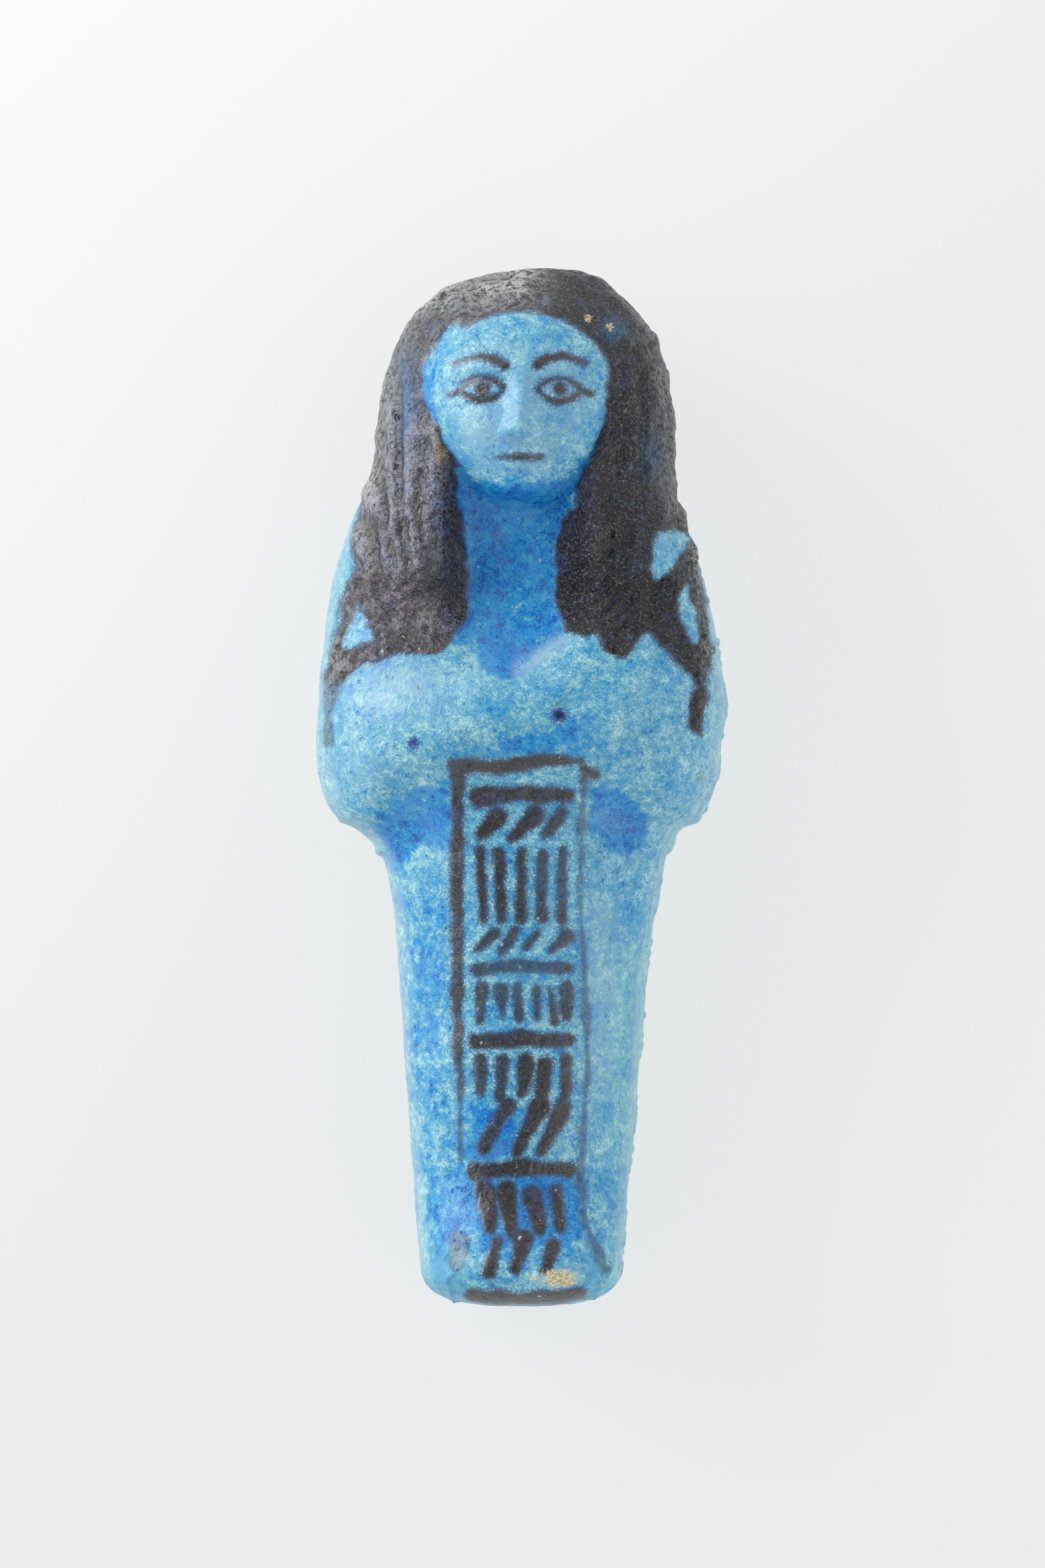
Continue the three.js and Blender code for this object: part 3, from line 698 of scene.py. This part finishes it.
# On the wig: a painted lilac sheen on the side nearest the light, worn ridges lightened there with painted
# sheen, rubbed rims with a painted sheen on the crown, pale runs, dark pits.
mottled = calc(tree, "MULTIPLY_ADD", patches, 0.4, calc(tree, "MULTIPLY", medium, 0.35))
mottled = calc(tree, "MULTIPLY_ADD", lumpy, 0.5, mottled)
painted_sheen = calc(tree, "MULTIPLY", field(tree, "painted_sheen"), rise(tree, mottled, 0.46, 0.74), clamp=True)
slip = mixed(tree, calc(tree, "MULTIPLY", painted_sheen, 0.9), slip, srgb(126, 119, 132))
on_worn_sheen_ridge = rise(tree, calc(tree, "ADD", patches, medium), 0.85, 1.15)
on_worn_sheen_ridge = calc(tree, "MULTIPLY", field(tree, "worn_sheen_ridge"), on_worn_sheen_ridge)
slip = mixed(tree, calc(tree, "MULTIPLY", on_worn_sheen_ridge, 0.6), slip, srgb(96, 114, 146))
rubbed_and_sheen = calc(tree, "MULTIPLY", field(tree, "rubbed_rim_and_sheen"), rise(tree, mottled, 0.52, 0.7))
slip = mixed(tree, calc(tree, "MULTIPLY", rubbed_and_sheen, 0.85, clamp=True), slip, srgb(176, 180, 178))
slip = mixed(tree, calc(tree, "MULTIPLY", runs, 0.45), slip, srgb(128, 134, 136))
coarse = calc(tree, "MULTIPLY_ADD", field(tree, "pebbly"), 0.45, 0.25)
slip = mixed(tree, calc(tree, "MULTIPLY", rise(tree, grains, 0.53, 0.62), coarse), slip, srgb(126, 124, 130))
dark_grains = calc(tree, "SUBTRACT", 1, rise(tree, grains, 0.38, 0.48))
slip = mixed(tree, calc(tree, "MULTIPLY", dark_grains, coarse), slip, srgb(12, 11, 14))
slip = mixed(tree, calc(tree, "MULTIPLY", pitted, 0.85), slip, srgb(14, 13, 15))
halo = calc(tree, "SUBTRACT", halo, calc(tree, "MULTIPLY", worn, 0.5), clamp=True)
colour = mixed(tree, halo, blue, srgb(46, 84, 140))
colour = mixed(tree, covered, colour, slip)

# Soil, specks of iron, pale quartz specks in the slip with painted glints, and crust on top.
sandy = calc(tree, "ADD", calc(tree, "MULTIPLY_ADD", fine, 0.9, -0.9), calc(tree, "MULTIPLY", medium, 0.9))
sandy = calc(tree, "ADD", sandy, calc(tree, "MULTIPLY_ADD", patches, 0.8, -0.4))
dusty = calc(tree, "MULTIPLY", rise(tree, calc(tree, "ADD", field(tree, "soil"), sandy), 0.6, 0.9), 0.75)
colour = mixed(tree, dusty, colour, srgb(140, 120, 86))
colour = mixed(tree, calc(tree, "MULTIPLY", iron, 0.75), colour, srgb(88, 78, 62))
pale_speck_glint = calc(tree, "MULTIPLY", quartz, covered)
colour = mixed(tree, calc(tree, "MULTIPLY", pale_speck_glint, 0.8), colour, srgb(190, 196, 200))
crusted = rise(tree, calc(tree, "ADD", field(tree, "crust"), calc(tree, "MULTIPLY", sandy, 1.2)), 0.35, 0.6)
cream = mixed(tree, rise(tree, grains, 0.42, 0.58), srgb(160, 142, 104), srgb(216, 208, 176))
colour = mixed(tree, crusted, colour, cream)
tree.links.new(colour, shader.inputs["Base Color"])

# The glaze's own skin: a faint peel, coarser on the pebbly parts of the wig, with pits, and how it shines.
peel = calc(tree, "MULTIPLY", lumpy, calc(tree, "MULTIPLY_ADD", rise(tree, cloudy, 0.44, 0.6), 0.6, 0.3))
pebbles = calc(tree, "MULTIPLY", field(tree, "pebbly"), 1.3)
peel = calc(tree, "MULTIPLY_ADD", calc(tree, "ADD", lumpy, medium), pebbles, peel)
height = calc(tree, "ADD", peel, calc(tree, "MULTIPLY", medium, 0.3))
height = calc(tree, "MULTIPLY_ADD", runs, 0.4, height)
height = calc(tree, "MULTIPLY_ADD", pitted, -0.8, height)
BODY_PEEL, EXTRA_ON_WIG = 0.1 * MM, 0.09 * MM
peel_height = calc(tree, "MULTIPLY_ADD", field(tree, "wig"), EXTRA_ON_WIG, BODY_PEEL)
peeled = node(tree, "ShaderNodeBump", {"Height": height, "Distance": peel_height, "Strength": 1.0})
tree.links.new(peeled.outputs[0], shader.inputs["Normal"])
dullness = calc(tree, "MULTIPLY_ADD", patches, 0.2, 0.28)
dullness = calc(tree, "MULTIPLY_ADD", field(tree, "wig"), -0.12, dullness)
tree.links.new(calc(tree, "MULTIPLY_ADD", field(tree, "grit"), 0.3, dullness), shader.inputs["Roughness"])
polish = calc(tree, "MULTIPLY_ADD", covered, 0.4, 0.42)
polish = calc(tree, "MULTIPLY", polish, calc(tree, "MULTIPLY_ADD", field(tree, "grit"), -0.75, 1))
tree.links.new(polish, shader.inputs["Specular IOR Level"])
shader.inputs["IOR"].default_value = 1.5
mesh.materials.append(glaze)


# Floor, light and camera
# A pale sweep that glows faintly of itself, so it leaves almost no shadow, and glows brighter towards the
# softbox as a painted pool of light. A softbox at the upper left of the picture and a weak fill at its right.
# The room is darker overhead, where the camera hangs, than round the table.


def reach_along(tree, vector, direction):
    """How far a vector reaches along a direction."""
    inputs = {0: vector, 1: direction}
    return node(tree, "ShaderNodeVectorMath", inputs, operation="DOT_PRODUCT").outputs["Value"]


FLOOR_REACH = 3
corners = [(FLOOR_REACH * i, FLOOR_REACH * j, 0) for i, j in ((-1, -1), (1, -1), (1, 1), (-1, 1))]
floor_mesh = bpy.data.meshes.new("floor")
floor_mesh.from_pydata(corners, [], [(0, 1, 2, 3)])
floor = bpy.data.objects.new("floor", floor_mesh)
floor.location.z = -0.2 * MM
bpy.context.collection.objects.link(floor)
pale = bpy.data.materials.new("pale_floor")
pale.use_nodes = True
tree = pale.node_tree
surface = tree.nodes["Principled BSDF"]
surface.inputs["Base Color"].default_value = (0.13, 0.133, 0.132, 1)
surface.inputs["Roughness"].default_value = 1
surface.inputs["Specular IOR Level"].default_value = 0
surface.inputs["Emission Color"].default_value = (0.985, 1, 0.995, 1)
place = node(tree, "ShaderNodeTexCoord").outputs["Object"]
# The floor glows brighter towards the softbox: a painted pool of light.
towards_light = reach_along(tree, place, (-1, 1, 0))
glow = calc(tree, "MULTIPLY_ADD", rise(tree, towards_light, -0.02, 0.14), 0.12, 0.715)
tree.links.new(glow, surface.inputs["Emission Strength"])
floor_mesh.materials.append(pale)

world = bpy.data.worlds.new("studio")
world.use_nodes = True
tree = world.node_tree
sky = tree.nodes["Background"]
sky.inputs["Color"].default_value = (0.97, 1, 1, 1)
direction = node(tree, "ShaderNodeTexCoord").outputs["Generated"]
steepness = calc(tree, "MAXIMUM", reach_along(tree, direction, (0, 0, 1)), 0)
tree.links.new(calc(tree, "MULTIPLY_ADD", steepness, -1.4, 1.57), sky.inputs["Strength"])
bpy.context.scene.world = world


def softbox(name, place, size, brightness, tint):
    """A rectangular light that faces the figure. brightness is its glow next to a white sheet's."""
    light = bpy.data.lights.new(name, "AREA")
    light.shape = "RECTANGLE"
    light.size, light.size_y = size
    light.energy = brightness * size[0] * size[1] * np.pi
    light.color = tint
    lamp = bpy.data.objects.new(name, light)
    lamp.location = place
    lamp.rotation_euler = lamp.location.to_track_quat("Z", "Y").to_euler()
    bpy.context.collection.objects.link(lamp)


softbox("softbox_left", (-0.82, 0.42, 0.38), (0.7, 0.5), 7.8, (1, 0.97, 0.94))
softbox("fill_right", (0.8, -0.3, 0.8), (1.6, 1.6), 0.62, (1, 1, 1))

# The picture shows this height at the level of the point the camera aims at, where the figure is widest.
PICTURE_HEIGHT = 0.136
AIM_X, AIM_Y, AIM_Z = 0.00023, 0.0003, 0.009
camera_data = bpy.data.cameras.new("camera")
camera_data.lens = 200
camera_data.sensor_width = 36
camera_data.clip_end = 20
camera = bpy.data.objects.new("camera", camera_data)
distance = PICTURE_HEIGHT * camera_data.lens / camera_data.sensor_width
camera.location = (AIM_X, AIM_Y, AIM_Z + distance)
bpy.context.collection.objects.link(camera)
bpy.context.scene.camera = camera
bpy.context.scene.view_settings.view_transform = "Standard"
